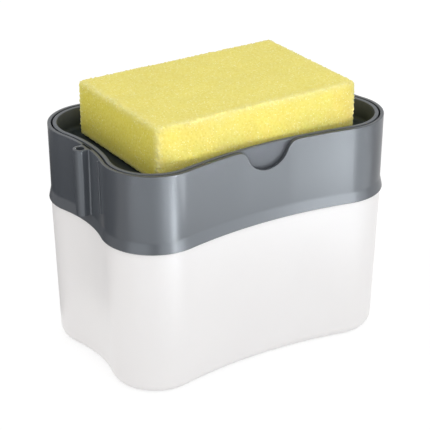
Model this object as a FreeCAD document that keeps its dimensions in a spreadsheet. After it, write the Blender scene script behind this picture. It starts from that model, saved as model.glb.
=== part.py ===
import FreeCAD, Part
import math
import os
from types import SimpleNamespace

import Sketcher
from FreeCAD import Placement, Rotation, Vector

# Soap pump caddy: a waisted tank, a collar that plugs into it, and a tray for a sponge
# that works a lotion pump. Millimetres, +Z up, origin at the middle of the base.
SIZES = {
    # plan of the rim: four round corners joined by drawn-in sides
    "caddy_length": 145.0,
    "caddy_width": 95.7,
    "corner_radius": 23.6,
    "end_waist_depth": 3.4,
    "side_waist_depth": 5.2,
    # tank
    "tank_height": 72.2,
    "tank_wall": 1.8,
    "tank_floor": 2.2,
    "tank_top_inset": 0.4,
    "tank_foot_inset": 2.7,
    "tank_foot_radius": 4.7,
    "base_rim_width": 7.0,
    "base_recess_depth": 0.8,
    # collar
    "collar_height": 37.0,
    "collar_wall": 1.5,
    "collar_draft": 0.5,
    "skirt_band": 5.2,
    "skirt_flare": 0.6,
    "ledge_thickness": 2.0,
    "plug_depth": 12.0,
    "plug_wall": 1.6,
    "plug_clearance": 0.35,
    "deck_thickness": 2.0,
    "notch_radius": 11.4,
    "notch_rounding": 6.2,
    # socket barrel on one end of the collar
    "barrel_radius": 3.3,
    "barrel_bore_radius": 1.9,
    "barrel_bore_depth": 28.0,
    "barrel_reach": 2.7,
    "barrel_blend": 1.0,
    # sponge tray
    "tray_gap": 1.05,
    "tray_wall": 1.6,
    "tray_skirt_depth": 18.0,
    "tray_depth": 10.0,
    "tray_floor": 1.6,
    "tray_draft": 0.4,
    "tray_floor_rounding": 2.0,
    "rest_rib_height": 0.8,
    "rest_rib_width": 1.4,
    "rest_rib_pitch": 9.0,
    "rest_rib_end_gap": 14.0,
    "stiffener_width": 1.6,
    "stiffener_depth": 3.0,
    "locating_wall": 1.5,
    # sponge
    "sponge_end_gap": 11.5,
    "sponge_side_gap": 3.3,
    "sponge_thickness": 26.3,
    "sponge_rounding": 1.2,
    # neck of the deck and closure nut
    "neck_radius": 12.0,
    "neck_height": 9.0,
    "neck_clearance": 0.5,
    "gasket_thickness": 1.2,
    "nut_wall": 2.7,
    "nut_top_wall": 1.8,
    "nut_foot_gap": 1.0,
    "nut_clearance": 0.3,
    "grip_rib_radius": 0.7,
    # pump housing
    "pump_bore_radius": 6.8,
    "housing_wall": 1.4,
    "housing_flange": 1.5,
    "housing_foot_gap": 13.8,
    "housing_floor": 3.0,
    "nipple_depth": 9.0,
    "inlet_hole_radius": 1.7,
    "inlet_cone_depth": 1.8,
    # stem guide
    "guide_depth": 8.4,
    "guide_collar_radius": 8.6,
    "guide_head_radius": 10.0,
    "guide_head_thickness": 1.5,
    # inlet valve
    "inlet_ball_radius": 2.4,
    "inlet_ball_play": 0.5,
    "ball_lift": 1.5,
    "cage_wall": 1.0,
    "cage_flange": 1.2,
    "cage_window_width": 2.4,
    "cage_hole_radius": 1.0,
    # plunger
    "stem_radius": 4.0,
    "stem_bore_radius": 2.0,
    "stem_shoulder_radius": 5.0,
    "stem_shoulder": 1.2,
    "stem_stop_gap": 0.3,
    "outlet_ball_radius": 2.2,
    "outlet_ball_play": 0.6,
    "seat_flange_radius": 6.2,
    "seat_flange": 1.2,
    "seat_spigot": 4.0,
    "seat_hole_radius": 1.3,
    "seat_cone_depth": 1.2,
    "seat_lip": 0.6,
    "piston_height": 7.8,
    "piston_lip": 1.8,
    "piston_groove": 0.9,
    "head_flange_radius": 10.0,
    "head_flange": 1.5,
    "head_spigot_radius": 6.0,
    "head_rise": 0.5,
    "head_sleeve_wall": 2.2,
    "head_socket_depth": 5.0,
    "outlet_radius": 1.6,
    # return spring and dip tube
    "spring_wire_radius": 0.5,
    "tube_radius": 3.0,
    "tube_wall": 0.9,
    "tube_foot_gap": 3.0,
    # fits and working allowances
    "seat_clearance": 0.05,
    "slide_clearance": 0.1,
    "loose_clearance": 0.3,
    "overrun": 1.0,
    "edge_match": 0.005,
}
REST_RIBS_PER_SIDE = 3
GRIP_RIBS = 24
SPRING_TURNS = 7
SPRING_STEPS_PER_TURN = 4

doc = FreeCAD.newDocument("soap_pump_caddy")
sheet = doc.addObject("Spreadsheet::Sheet", "Sizes")
for row, (alias, number) in enumerate(SIZES.items(), 1):
    sheet.set(f"A{row}", alias)
    sheet.set(f"B{row}", str(number))
    sheet.setAlias(f"B{row}", alias)
doc.recompute()


class Size:
    """A size of the caddy: its value and the sheet expression that gives it."""

    def __init__(self, value, text):
        self.value = value
        self.text = text

    def join(self, sign, other, value):
        other_text = other.text if isinstance(other, Size) else repr(other)
        return Size(value, f"({self.text} {sign} {other_text})")

    def __add__(self, other):
        return self.join("+", other, self.value + number_of(other))

    def __sub__(self, other):
        return self.join("-", other, self.value - number_of(other))

    def __mul__(self, other):
        return self.join("*", other, self.value * number_of(other))

    def __truediv__(self, other):
        return self.join("/", other, self.value / number_of(other))

    def __neg__(self):
        return Size(-self.value, f"(-{self.text})")


def number_of(size):
    return size.value if isinstance(size, Size) else size


def root(size):
    return Size(math.sqrt(size.value), f"sqrt({size.text})")


def lean(run, rise):
    """Angle from upright of a wall that moves out by run over rise."""
    return Size(math.degrees(math.atan(run.value / rise.value)), f"atan({run.text} / {rise.text})")


s = SimpleNamespace(**{alias: Size(float(sheet.get(alias)), f"Sizes.{alias}") for alias in SIZES})
ZERO = Size(0.0, "0")

# plan: centres of the corner arcs, and radii of the drawn-in sides that touch them
corner_x = s.caddy_length / 2 - s.corner_radius
corner_y = s.caddy_width / 2 - s.corner_radius


def waist_radius(half_span, depth):
    reach = s.corner_radius - depth
    return (half_span * half_span + reach * reach - s.corner_radius * s.corner_radius) / (depth * 2)


side_radius = waist_radius(corner_x, s.side_waist_depth)
end_radius = waist_radius(corner_y, s.end_waist_depth)
half_side_waist = s.caddy_width / 2 - s.side_waist_depth
half_end_waist = s.caddy_length / 2 - s.end_waist_depth

# levels of the collar and the tray
rim_level = s.tank_height + s.collar_height
band_level = s.tank_height + s.skirt_band
ledge_level = s.tank_height + s.ledge_thickness
plug_level = s.tank_height - s.plug_depth
deck_level = plug_level + s.deck_thickness
tray_inset = s.collar_wall + s.tray_gap
tray_level = rim_level - s.tray_skirt_depth
dish_level = rim_level - s.tray_depth
dish_inset = tray_inset + s.tray_wall
underside_level = dish_level - s.tray_floor
sponge_level = dish_level + s.rest_rib_height

# plug of the collar, clear of the leaning wall of the tank at its foot
tank_draft = s.tank_foot_inset - s.tank_top_inset
plug_inset = s.tank_top_inset + tank_draft * (s.plug_depth / s.tank_height) + s.tank_wall + s.plug_clearance

# levels of the pump, from the neck up
neck_level = deck_level + s.neck_height
gasket_level = neck_level + s.gasket_thickness
flange_level = gasket_level + s.housing_flange
nut_level = flange_level + s.nut_top_wall
guide_foot_level = flange_level - s.guide_depth
guide_collar_level = nut_level + s.loose_clearance
guide_head_level = guide_collar_level + s.guide_head_thickness

# levels of the pump, from the floor of the tank up
nipple_level = s.tank_floor + s.housing_foot_gap
nipple_end_level = nipple_level + s.nipple_depth
bore_level = nipple_end_level + s.housing_floor
cage_inner_radius = s.inlet_ball_radius + s.inlet_ball_play
cage_outer_radius = cage_inner_radius + s.cage_wall
spring_foot_level = bore_level + s.cage_flange

# levels of the plunger, down from the stem guide and up to the tray
shoulder_top_level = guide_foot_level - s.stem_stop_gap
shoulder_level = shoulder_top_level - s.stem_shoulder
piston_level = shoulder_level - s.piston_height
seat_level = piston_level - s.seat_flange
spigot_level = piston_level + s.seat_spigot
chamber_radius = s.outlet_ball_radius + s.outlet_ball_play
stem_top_level = underside_level - s.head_flange


def ball_level(rim_radius, hole_radius, depth, top_level, ball_radius):
    """Height of a ball's centre in a conical seat, just clear of the cone."""
    slope = (rim_radius - hole_radius) / depth
    lift = ball_radius * root(slope * slope + 1) / slope
    return top_level - rim_radius / slope + lift + s.seat_clearance


inlet_ball_level = ball_level(
    cage_inner_radius, s.inlet_hole_radius, s.inlet_cone_depth, bore_level, s.inlet_ball_radius
)
seat_rim_radius = chamber_radius - s.seat_lip
outlet_ball_level = ball_level(
    seat_rim_radius, s.seat_hole_radius, s.seat_cone_depth, spigot_level, s.outlet_ball_radius
)
cage_ceiling_level = inlet_ball_level + s.inlet_ball_radius + s.ball_lift + s.slide_clearance
cage_top_level = cage_ceiling_level + s.cage_wall
chamber_level = outlet_ball_level + s.outlet_ball_radius + s.ball_lift + s.slide_clearance


# Sketch and feature helpers
def bind(feature, path, size):
    feature.setExpression(path, size.text)


def new_body(label):
    body = doc.addObject("PartDesign::Body", label)
    body.Label = label
    return body


def new_sketch(body, name, role="XY_Plane", level=None):
    sketch = body.newObject("Sketcher::SketchObject", name)
    plane = next(f for f in body.Origin.OriginFeatures if f.Role == role)
    sketch.AttachmentSupport = [(plane, "")]
    sketch.MapMode = "FlatFace"
    if level is not None:
        sketch.AttachmentOffset = Placement(Vector(0, 0, level.value), Rotation())
        bind(sketch, "AttachmentOffset.Base.z", level)
    return sketch


def constrain(sketch, kind, references, size):
    index = sketch.addConstraint(Sketcher.Constraint(kind, *references, size.value))
    bind(sketch, f"Constraints[{index}]", size)


def place_point(sketch, edge, end, x, y):
    """Fix one end or the centre of an edge at x, y from the origin of the sketch."""
    for kind, axis, size in (("DistanceX", -2, x), ("DistanceY", -1, y)):
        if size.value == 0:
            sketch.addConstraint(Sketcher.Constraint("PointOnObject", edge, end, axis))
        elif size.value > 0:
            constrain(sketch, kind, (-1, 1, edge, end), size)
        else:
            constrain(sketch, kind, (edge, end, -1, 1), -size)


def polygon(sketch, corners):
    points = [Vector(x.value, y.value, 0) for x, y in corners]
    first = sketch.GeometryCount
    count = len(points)
    for i in range(count):
        sketch.addGeometry(Part.LineSegment(points[i], points[(i + 1) % count]))
    for i in range(count):
        sketch.addConstraint(Sketcher.Constraint("Coincident", first + i, 2, first + (i + 1) % count, 1))
    for i, (x, y) in enumerate(corners):
        place_point(sketch, first + i, 1, x, y)


def rectangle(sketch, x, y, half_length, half_width):
    polygon(sketch, [
        (x - half_length, y - half_width),
        (x + half_length, y - half_width),
        (x + half_length, y + half_width),
        (x - half_length, y + half_width),
    ])


def circle(sketch, x, y, radius):
    centre = Vector(x.value, y.value, 0)
    edge = sketch.addGeometry(Part.Circle(centre, Vector(0, 0, 1), radius.value))
    place_point(sketch, edge, 3, x, y)
    constrain(sketch, "Radius", (edge,), radius)


def add_arc(sketch, centre, radius, start, end):
    """Add an arc that runs anticlockwise from the direction start to the direction end."""
    round_edge = Part.Circle(centre, Vector(0, 0, 1), radius.value)
    start_angle = math.atan2(start.y, start.x)
    end_angle = math.atan2(end.y, end.x)
    if end_angle < start_angle:
        end_angle += 2 * math.pi
    edge = sketch.addGeometry(Part.ArcOfCircle(round_edge, start_angle, end_angle))
    constrain(sketch, "Radius", (edge,), radius)
    return edge


def waisted_outline(sketch, inset):
    """Draw the plan of the caddy, moved inwards by inset."""
    quarter_turns = ((1, 1), (-1, 1), (-1, -1), (1, -1))
    corners = [Vector(sx * corner_x.value, sy * corner_y.value, 0) for sx, sy in quarter_turns]
    side_reach = half_side_waist.value + side_radius.value
    end_reach = half_end_waist.value + end_radius.value
    sides = [
        Vector(0, side_reach, 0),
        Vector(-end_reach, 0, 0),
        Vector(0, -side_reach, 0),
        Vector(end_reach, 0, 0),
    ]
    corner_edges = []
    for i, corner in enumerate(corners):
        edge = add_arc(sketch, corner, s.corner_radius - inset, sides[i - 1] - corner, sides[i] - corner)
        x = corner_x if corner.x > 0 else -corner_x
        y = corner_y if corner.y > 0 else -corner_y
        place_point(sketch, edge, 3, x, y)
        corner_edges.append(edge)
    for i, side in enumerate(sides):
        before = i
        after = (i + 1) % len(corners)
        radius = (end_radius if side.x else side_radius) + inset
        edge = add_arc(sketch, side, radius, corners[after] - side, corners[before] - side)
        sketch.addConstraint(Sketcher.Constraint("Tangent", edge, 1, corner_edges[after], 1))
        sketch.addConstraint(Sketcher.Constraint("Tangent", edge, 2, corner_edges[before], 2))


def plan_sketch(body, name, level, inset):
    sketch = new_sketch(body, name, level=level)
    waisted_outline(sketch, inset)
    return sketch


def extrude(body, kind, sketch, name, length, reverse=False):
    feature = body.newObject(f"PartDesign::{kind}", name)
    feature.Profile = sketch
    feature.Reversed = reverse
    bind(feature, "Length", length)
    return feature


def round_edges(body, name, feature, radius, wanted):
    """Fillet the edges of feature whose start, middle and end points are all wanted."""
    doc.recompute()
    names = []
    for i, edge in enumerate(feature.Shape.Edges, 1):
        first, last = edge.ParameterRange
        if all(wanted(edge.valueAt(p)) for p in (first, (first + last) / 2, last)):
            names.append(f"Edge{i}")
    fillet = body.newObject("PartDesign::Fillet", name)
    fillet.Base = (feature, names)
    bind(fillet, "Radius", radius)
    return fillet


def at_level(level):
    return lambda point: abs(point.z - level.value) < s.edge_match.value


def lean_walls(body, name, feature, inset, level, angle, outward):
    """Lean the upright walls drawn at inset about the plane at level; outward adds material going up."""
    doc.recompute()
    radii = [s.corner_radius - inset, side_radius + inset, end_radius + inset]
    walls = []
    flats = []
    for i, face in enumerate(feature.Shape.Faces, 1):
        if isinstance(face.Surface, Part.Cylinder):
            if any(abs(face.Surface.Radius - radius.value) < s.edge_match.value for radius in radii):
                walls.append(f"Face{i}")
        elif isinstance(face.Surface, Part.Plane) and at_level(level)(face.CenterOfMass):
            flats.append(f"Face{i}")
    draft = body.newObject("PartDesign::Draft", name)
    draft.Base = (feature, walls)
    draft.NeutralPlane = (feature, flats[:1])
    draft.PullDirection = (next(f for f in body.Origin.OriginFeatures if f.Role == "Z_Axis"), [""])
    draft.Reversed = outward
    bind(draft, "Angle", angle)
    return draft


def turned(label, outline):
    """Make a piece by turning an outline of (radius, level) corners about the Z axis."""
    body = new_body(label)
    sketch = new_sketch(body, f"{label}_section", "XZ_Plane")
    polygon(sketch, outline)
    revolution = body.newObject("PartDesign::Revolution", f"{label}_turn")
    revolution.Profile = sketch
    revolution.ReferenceAxis = (sketch, ["V_Axis"])
    revolution.Angle = 360
    return body


def ball(label, radius, level):
    sphere = doc.addObject("Part::Sphere", label)
    sphere.Label = label
    bind(sphere, "Radius", radius)
    bind(sphere, "Placement.Base.z", level)
    return sphere


# Reservoir and frame
def make_tank():
    body = new_body("tank")
    angle = lean(tank_draft, s.tank_height)
    plan = plan_sketch(body, "tank_plan", ZERO, s.tank_foot_inset)
    block = extrude(body, "Pad", plan, "tank_block", s.tank_height)
    outside = lean_walls(body, "tank_outside", block, s.tank_foot_inset, ZERO, angle, outward=True)
    round_edges(body, "tank_foot", outside, s.tank_foot_radius, at_level(ZERO))
    inner_inset = s.tank_foot_inset + s.tank_wall
    hollow = plan_sketch(body, "tank_hollow", s.tank_height, inner_inset)
    cut = extrude(body, "Pocket", hollow, "tank_hollow_cut", s.tank_height - s.tank_floor)
    inside = lean_walls(body, "tank_inside", cut, inner_inset, ZERO, angle, outward=False)
    round_edges(body, "tank_inner_foot", inside, s.tank_foot_radius - s.tank_wall, at_level(s.tank_floor))
    recess = plan_sketch(body, "base_recess", ZERO, s.tank_foot_inset + s.tank_foot_radius + s.base_rim_width)
    extrude(body, "Pocket", recess, "base_recess_cut", s.base_recess_depth, reverse=True)
    return body


def notch_outline(sketch):
    """Half-round dip in the rim, with a rounded shoulder on each side of it."""
    reach = s.notch_radius + s.notch_rounding
    shoulder_x = root(reach * reach - s.notch_rounding * s.notch_rounding)
    shoulder_level = rim_level - s.notch_rounding
    centre = Vector(0, rim_level.value, 0)
    left = Vector(-shoulder_x.value, shoulder_level.value, 0)
    right = Vector(shoulder_x.value, shoulder_level.value, 0)
    up = Vector(0, 1, 0)
    dip = add_arc(sketch, centre, s.notch_radius, left - centre, right - centre)
    place_point(sketch, dip, 3, ZERO, rim_level)
    right_edge = add_arc(sketch, right, s.notch_rounding, up, centre - right)
    left_edge = add_arc(sketch, left, s.notch_rounding, centre - left, up)
    sketch.addConstraint(Sketcher.Constraint("Tangent", dip, 2, right_edge, 2))
    sketch.addConstraint(Sketcher.Constraint("Tangent", dip, 1, left_edge, 1))
    top = rim_level + s.overrun
    walls = []
    for edge, end, shoulder in ((right_edge, 1, right), (left_edge, 2, left)):
        constrain(sketch, "DistanceY", (-1, 1, edge, 3), shoulder_level)
        sketch.addConstraint(Sketcher.Constraint("Vertical", edge, 3, edge, end))
        foot = Vector(shoulder.x, rim_level.value, 0)
        wall = sketch.addGeometry(Part.LineSegment(foot, Vector(shoulder.x, top.value, 0)))
        sketch.addConstraint(Sketcher.Constraint("Coincident", wall, 1, edge, end))
        sketch.addConstraint(Sketcher.Constraint("Vertical", wall))
        walls.append(wall)
    lid = sketch.addGeometry(Part.LineSegment(Vector(right.x, top.value, 0), Vector(left.x, top.value, 0)))
    sketch.addConstraint(Sketcher.Constraint("Coincident", lid, 1, walls[0], 2))
    sketch.addConstraint(Sketcher.Constraint("Coincident", lid, 2, walls[1], 2))
    sketch.addConstraint(Sketcher.Constraint("Horizontal", lid))
    constrain(sketch, "DistanceY", (-1, 1, lid, 1), top)


def barrel_outline(sketch, x, root_x):
    """Round barrel whose flanks run straight back into the wall at root_x."""
    centre = Vector(x.value, 0, 0)
    side = Vector(0, s.barrel_radius.value, 0)
    nose = add_arc(sketch, centre, s.barrel_radius, side, -side)
    place_point(sketch, nose, 3, x, ZERO)
    flanks = []
    for end, sign in ((1, 1), (2, -1)):
        start = centre + side * sign
        flank = sketch.addGeometry(Part.LineSegment(start, Vector(root_x.value, start.y, 0)))
        sketch.addConstraint(Sketcher.Constraint("Tangent", flank, 1, nose, end))
        sketch.addConstraint(Sketcher.Constraint("Horizontal", flank))
        flanks.append(flank)
    back_middle = Vector(root_x.value, 0, 0)
    back = sketch.addGeometry(Part.LineSegment(back_middle + side, back_middle - side))
    sketch.addConstraint(Sketcher.Constraint("Coincident", back, 1, flanks[0], 2))
    sketch.addConstraint(Sketcher.Constraint("Coincident", back, 2, flanks[1], 2))
    sketch.addConstraint(Sketcher.Constraint("Vertical", back))
    constrain(sketch, "DistanceX", (back, 1, -1, 1), -root_x)


def make_collar():
    body = new_body("collar")
    angle = lean(s.collar_draft, rim_level - band_level)
    plan = plan_sketch(body, "collar_plan", band_level, s.collar_draft)
    block = extrude(body, "Pad", plan, "collar_block", rim_level - band_level)
    lean_walls(body, "collar_outside", block, s.collar_draft, band_level, angle, outward=True)
    barrel_x = -(half_end_waist + s.barrel_reach)
    barrel = new_sketch(body, "barrel", level=band_level)
    barrel_outline(barrel, barrel_x, -(half_end_waist - s.collar_draft - s.collar_wall))
    barrel_pad = extrude(body, "Pad", barrel, "barrel_pad", rim_level - band_level)
    flank_y = s.barrel_radius.value

    def in_blend(point):
        on_flank = abs(abs(point.y) - flank_y) < s.edge_match.value
        return on_flank and barrel_x.value < point.x - s.edge_match.value and point.x < 0

    round_edges(body, "barrel_blend_fillet", barrel_pad, s.barrel_blend, in_blend)
    skirt_foot = plan_sketch(body, "skirt_foot", s.tank_height, -s.skirt_flare)
    skirt_top = plan_sketch(body, "skirt_top", band_level, s.collar_draft)
    skirt = body.newObject("PartDesign::AdditiveLoft", "skirt")
    skirt.Profile = skirt_foot
    skirt.Sections = [skirt_top]
    skirt.Ruled = True
    plug = plan_sketch(body, "plug", plug_level, plug_inset)
    extrude(body, "Pad", plug, "plug_pad", ledge_level - plug_level)
    well = plan_sketch(body, "well", rim_level, s.collar_wall)
    well_cut = extrude(body, "Pocket", well, "well_cut", rim_level - ledge_level)
    lean_walls(body, "well_walls", well_cut, s.collar_wall, rim_level, angle, outward=False)
    basin = plan_sketch(body, "basin", ledge_level, plug_inset + s.plug_wall)
    extrude(body, "Pocket", basin, "basin_cut", ledge_level - deck_level)
    neck = new_sketch(body, "neck", level=plug_level)
    circle(neck, ZERO, ZERO, s.neck_radius)
    extrude(body, "Pad", neck, "neck_pad", neck_level - plug_level)
    neck_bore = new_sketch(body, "neck_bore", level=neck_level)
    circle(neck_bore, ZERO, ZERO, s.pump_bore_radius + s.housing_wall + s.neck_clearance)
    extrude(body, "Pocket", neck_bore, "neck_bore_cut", neck_level - plug_level + s.overrun)
    socket = new_sketch(body, "socket", level=rim_level)
    circle(socket, barrel_x, ZERO, s.barrel_bore_radius)
    extrude(body, "Pocket", socket, "socket_cut", s.barrel_bore_depth)
    notch = new_sketch(body, "notch", "XZ_Plane")
    notch_outline(notch)
    notch_cut = extrude(body, "Pocket", notch, "notch_cut", s.caddy_width)
    notch_cut.SideType = "Symmetric"
    return body


# Tray and sponge
def make_tray():
    body = new_body("sponge_tray")
    block = plan_sketch(body, "tray_plan", tray_level, tray_inset)
    extrude(body, "Pad", block, "tray_block", s.tray_skirt_depth)
    hollow = plan_sketch(body, "tray_hollow", tray_level, dish_inset)
    extrude(body, "Pocket", hollow, "tray_hollow_cut", underside_level - tray_level, reverse=True)
    dish = plan_sketch(body, "dish", rim_level, dish_inset)
    dish_cut = extrude(body, "Pocket", dish, "dish_cut", s.tray_depth)
    angle = lean(s.tray_draft, s.tray_depth)
    dish_walls = lean_walls(body, "dish_walls", dish_cut, dish_inset, rim_level, angle, outward=False)
    round_edges(body, "dish_rounding", dish_walls, s.tray_floor_rounding, at_level(dish_level))
    ribs = new_sketch(body, "rest_ribs", level=dish_level)
    rib_half_length = half_end_waist - dish_inset - s.rest_rib_end_gap
    for row in range(1, REST_RIBS_PER_SIDE + 1):
        for side in (1, -1):
            rectangle(ribs, ZERO, s.rest_rib_pitch * (row * side), rib_half_length, s.rest_rib_width / 2)
    extrude(body, "Pad", ribs, "rest_rib_pad", s.rest_rib_height)
    for name, half_length, half_width in (
        ("long_stiffener", half_end_waist - tray_inset - s.tray_wall / 2, s.stiffener_width / 2),
        ("cross_stiffener", s.stiffener_width / 2, half_side_waist - tray_inset - s.tray_wall / 2),
    ):
        stiffener = new_sketch(body, name, level=underside_level)
        rectangle(stiffener, ZERO, ZERO, half_length, half_width)
        extrude(body, "Pad", stiffener, f"{name}_pad", s.stiffener_depth, reverse=True)
    locating_radius = s.head_flange_radius + s.loose_clearance
    ring = new_sketch(body, "locating_ring", level=underside_level)
    circle(ring, ZERO, ZERO, locating_radius + s.locating_wall)
    extrude(body, "Pad", ring, "locating_ring_pad", s.stiffener_depth, reverse=True)
    seat = new_sketch(body, "head_seat", level=underside_level)
    circle(seat, ZERO, ZERO, locating_radius)
    extrude(body, "Pocket", seat, "head_seat_cut", s.stiffener_depth)
    hole = new_sketch(body, "head_hole", level=dish_level)
    circle(hole, ZERO, ZERO, s.head_spigot_radius + s.loose_clearance)
    extrude(body, "Pocket", hole, "head_hole_cut", s.tray_floor)
    return body


def make_sponge():
    body = new_body("sponge")
    plan = new_sketch(body, "sponge_plan", level=sponge_level)
    floor_inset = dish_inset + s.tray_draft
    half_length = half_end_waist - floor_inset - s.sponge_end_gap
    half_width = half_side_waist - floor_inset - s.sponge_side_gap
    rectangle(plan, ZERO, ZERO, half_length, half_width)
    block = extrude(body, "Pad", plan, "sponge_block", s.sponge_thickness)
    round_edges(body, "sponge_edges", block, s.sponge_rounding, lambda point: True)
    return body


# Pump pieces held on the neck
def make_pump_housing():
    outer = s.pump_bore_radius + s.housing_wall
    tube_seat = s.tube_radius + s.seat_clearance
    return turned("pump_housing", [
        (s.pump_bore_radius, flange_level),
        (s.neck_radius, flange_level),
        (s.neck_radius, gasket_level),
        (outer, gasket_level),
        (outer, nipple_end_level),
        (tube_seat + s.housing_wall, nipple_end_level),
        (tube_seat + s.housing_wall, nipple_level),
        (tube_seat, nipple_level),
        (tube_seat, nipple_end_level),
        (s.inlet_hole_radius, nipple_end_level),
        (s.inlet_hole_radius, bore_level - s.inlet_cone_depth),
        (cage_inner_radius, bore_level),
        (s.pump_bore_radius, bore_level),
    ])


def make_neck_gasket():
    inner = s.pump_bore_radius + s.housing_wall + s.seat_clearance
    return turned("neck_gasket", [
        (inner, neck_level),
        (s.neck_radius, neck_level),
        (s.neck_radius, gasket_level),
        (inner, gasket_level),
    ])


def make_stem_guide():
    bore = s.stem_radius + s.slide_clearance
    plug = s.pump_bore_radius - s.seat_clearance
    return turned("stem_guide", [
        (bore, guide_foot_level),
        (plug, guide_foot_level),
        (plug, flange_level),
        (s.guide_collar_radius, flange_level),
        (s.guide_collar_radius, guide_collar_level),
        (s.guide_head_radius, guide_collar_level),
        (s.guide_head_radius, guide_head_level),
        (bore, guide_head_level),
    ])


def make_closure_nut():
    thread = s.neck_radius + s.nut_clearance
    outer = thread + s.nut_wall
    hole = s.guide_collar_radius + s.nut_clearance
    foot = deck_level + s.nut_foot_gap
    body = turned("closure_nut", [
        (hole, nut_level),
        (outer, nut_level),
        (outer, foot),
        (thread, foot),
        (thread, flange_level),
        (hole, flange_level),
    ])
    rib = new_sketch(body, "grip_rib", level=foot)
    circle(rib, outer, ZERO, s.grip_rib_radius)
    rib_pad = extrude(body, "Pad", rib, "grip_rib_pad", nut_level - foot)
    doc.recompute()
    ribs = body.newObject("PartDesign::PolarPattern", "grip_ribs")
    ribs.Originals = [rib_pad]
    ribs.Axis = (rib, ["N_Axis"])
    ribs.Angle = 360
    ribs.Occurrences = GRIP_RIBS
    body.Tip = ribs
    return body


def make_ball_cage():
    rim = s.pump_bore_radius - s.slide_clearance
    body = turned("ball_cage", [
        (cage_inner_radius, bore_level),
        (rim, bore_level),
        (rim, spring_foot_level),
        (cage_outer_radius, spring_foot_level),
        (cage_outer_radius, cage_top_level),
        (s.cage_hole_radius, cage_top_level),
        (s.cage_hole_radius, cage_ceiling_level),
        (cage_inner_radius, cage_ceiling_level),
    ])
    window = new_sketch(body, "cage_window", "XZ_Plane")
    half_height = (cage_ceiling_level - spring_foot_level) / 2
    rectangle(window, ZERO, spring_foot_level + half_height, s.cage_window_width / 2, half_height)
    cut = extrude(body, "Pocket", window, "cage_window_cut", cage_outer_radius * 2 + s.overrun)
    cut.SideType = "Symmetric"
    return body


def make_dip_tube():
    bore = s.tube_radius - s.tube_wall
    foot = s.tank_floor + s.tube_foot_gap
    return turned("dip_tube", [
        (bore, foot),
        (s.tube_radius, foot),
        (s.tube_radius, nipple_end_level),
        (bore, nipple_end_level),
    ])


# Plunger pieces that go down with the tray
def make_pump_stem():
    return turned("pump_stem", [
        (chamber_radius, piston_level),
        (s.stem_radius, piston_level),
        (s.stem_radius, shoulder_level),
        (s.stem_shoulder_radius, shoulder_level),
        (s.stem_shoulder_radius, shoulder_top_level),
        (s.stem_radius, shoulder_top_level),
        (s.stem_radius, stem_top_level),
        (s.stem_bore_radius, stem_top_level),
        (s.stem_bore_radius, chamber_level),
        (chamber_radius, chamber_level),
    ])


def make_piston():
    bore = s.stem_radius + s.seat_clearance
    lip = s.pump_bore_radius - s.slide_clearance
    groove = lip - s.piston_groove
    return turned("piston", [
        (bore, piston_level),
        (lip, piston_level),
        (lip, piston_level + s.piston_lip),
        (groove, piston_level + s.piston_lip),
        (groove, shoulder_level - s.piston_lip),
        (lip, shoulder_level - s.piston_lip),
        (lip, shoulder_level),
        (bore, shoulder_level),
    ])


def make_valve_seat():
    spigot = chamber_radius - s.seat_clearance
    return turned("valve_seat", [
        (s.seat_hole_radius, seat_level),
        (s.seat_flange_radius, seat_level),
        (s.seat_flange_radius, piston_level),
        (spigot, piston_level),
        (spigot, spigot_level),
        (seat_rim_radius, spigot_level),
        (s.seat_hole_radius, spigot_level - s.seat_cone_depth),
    ])


def make_pump_head():
    socket = s.stem_radius + s.seat_clearance
    foot = stem_top_level - s.head_socket_depth
    top = dish_level + s.head_rise
    return turned("pump_head", [
        (s.outlet_radius, top),
        (s.head_spigot_radius, top),
        (s.head_spigot_radius, underside_level),
        (s.head_flange_radius, underside_level),
        (s.head_flange_radius, stem_top_level),
        (socket + s.head_sleeve_wall, stem_top_level),
        (socket + s.head_sleeve_wall, foot),
        (socket, foot),
        (socket, stem_top_level),
        (s.outlet_radius, stem_top_level),
    ])


def arc_between(start, tangent, end):
    """Arc from start, leaving along tangent, to end."""
    chord = end - start
    along = Vector(chord).normalize()
    aside = (tangent - along * tangent.dot(along)).normalize()
    bend = math.acos(tangent.dot(along))
    middle = (start + end) / 2 + aside * (chord.Length / 2 * math.tan(bend / 2))
    return Part.Arc(start, middle, end).toShape()


def coil_path(radius, foot, top, turns):
    """Helix of two tangent arcs per step, from foot to top."""
    steps = turns * SPRING_STEPS_PER_TURN
    step_angle = 2 * math.pi / SPRING_STEPS_PER_TURN
    climb = (top - foot) / steps
    edges = []
    for i in range(steps):
        ends = []
        for k in (i, i + 1):
            angle = k * step_angle
            point = Vector(radius * math.cos(angle), radius * math.sin(angle), foot + k * climb)
            heading = Vector(-radius * math.sin(angle), radius * math.cos(angle), climb / step_angle)
            ends.append((point, heading.normalize()))
        (p, p_heading), (q, q_heading) = ends
        span = q - p
        lean = span.dot(p_heading + q_heading)
        spread = 2 * (1 - p_heading.dot(q_heading))
        reach = (math.sqrt(lean * lean + spread * span.dot(span)) - lean) / spread
        joint = (p + p_heading * reach + q - q_heading * reach) / 2
        joint_heading = (q - q_heading * reach - p - p_heading * reach).normalize()
        edges.append(arc_between(p, p_heading, joint))
        edges.append(arc_between(joint, joint_heading, q))
    return Part.Wire(edges)


def make_return_spring():
    wire = s.spring_wire_radius.value
    room = wire + s.seat_clearance.value
    radius = (cage_outer_radius.value + s.pump_bore_radius.value) / 2
    foot = spring_foot_level.value + room
    top = seat_level.value - room
    path = coil_path(radius, foot, top, SPRING_TURNS)
    start = path.Edges[0]
    tip = start.valueAt(start.FirstParameter)
    heading = start.tangentAt(start.FirstParameter)
    section = Part.Wire(Part.Circle(tip, heading, wire).toShape())
    spring = doc.addObject("Part::Feature", "return_spring")
    spring.Label = "return_spring"
    spring.Shape = Part.Solid(path.makePipeShell([section], True, False).Shells[0])
    print("return_spring least gap between turns", round((top - foot) / SPRING_TURNS - 2 * wire, 3))
    return spring


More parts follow.
